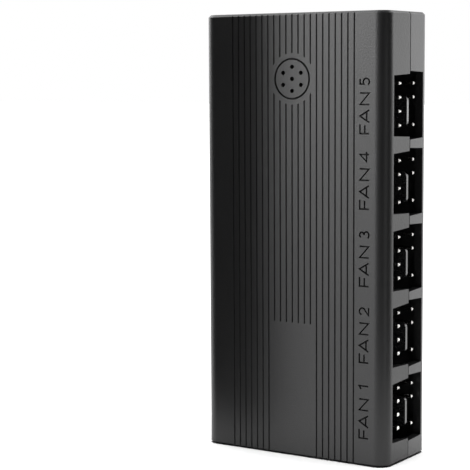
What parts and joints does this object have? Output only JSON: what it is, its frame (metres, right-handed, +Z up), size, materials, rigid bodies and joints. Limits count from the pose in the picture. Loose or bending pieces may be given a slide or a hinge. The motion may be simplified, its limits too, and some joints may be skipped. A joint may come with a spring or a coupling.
{
  "type": "pc fan controller hub",
  "caption": "Upright plastic hub that powers and controls computer case fans, with a ribbed front, a round sound grille and keyed sockets up its side wall.",
  "frame": {"origin": "middle of the foot, on the surface the hub stands on", "axes": "+X towards the fan ports, +Y from the ribbed front to the rear, +Z up along the case"},
  "size_m": [0.0392, 0.0168, 0.0826],
  "materials": {
    "case_plastic": "black moulded plastic with a fine satin spark texture",
    "header_plastic": "black glass-filled connector plastic",
    "pin_metal": "tin-plated pin",
    "board_laminate": "black solder mask",
    "chip_plastic": "moulded chip package",
    "can_metal": "drawn metal can",
    "buzzer_plastic": "black moulded shell",
    "screw_steel": "dark plated steel"
  },
  "bodies": {
    "root": {"front_cover": "case_plastic", "rear_cover": "case_plastic", "circuit_board": "board_laminate", "receiver_board": "board_laminate", "power_inlet": "header_plastic", "power_contacts": "pin_metal", "controller_chip": "chip_plastic", "light_buffer_chip": "chip_plastic", "clock_crystal": "can_metal", "receiver_shield": "can_metal", "buzzer": "buzzer_plastic", "case_screws": "screw_steel", "fan_header_1": "header_plastic", "fan_header_2": "header_plastic", "fan_header_3": "header_plastic", "fan_header_4": "header_plastic", "fan_header_5": "header_plastic", "fan_pins_1": "pin_metal", "fan_pins_2": "pin_metal", "fan_pins_3": "pin_metal", "fan_pins_4": "pin_metal", "fan_pins_5": "pin_metal", "light_header_1": "header_plastic", "light_header_2": "header_plastic", "light_header_3": "header_plastic", "light_header_4": "header_plastic", "light_header_5": "header_plastic", "light_pins_1": "pin_metal", "light_pins_2": "pin_metal", "light_pins_3": "pin_metal", "light_pins_4": "pin_metal", "light_pins_5": "pin_metal", "fan_switch_1": "chip_plastic", "fan_switch_2": "chip_plastic", "fan_switch_3": "chip_plastic", "fan_switch_4": "chip_plastic", "fan_switch_5": "chip_plastic", "supply_capacitor_1": "can_metal", "supply_capacitor_2": "can_metal"}
  },
  "joints": []
}
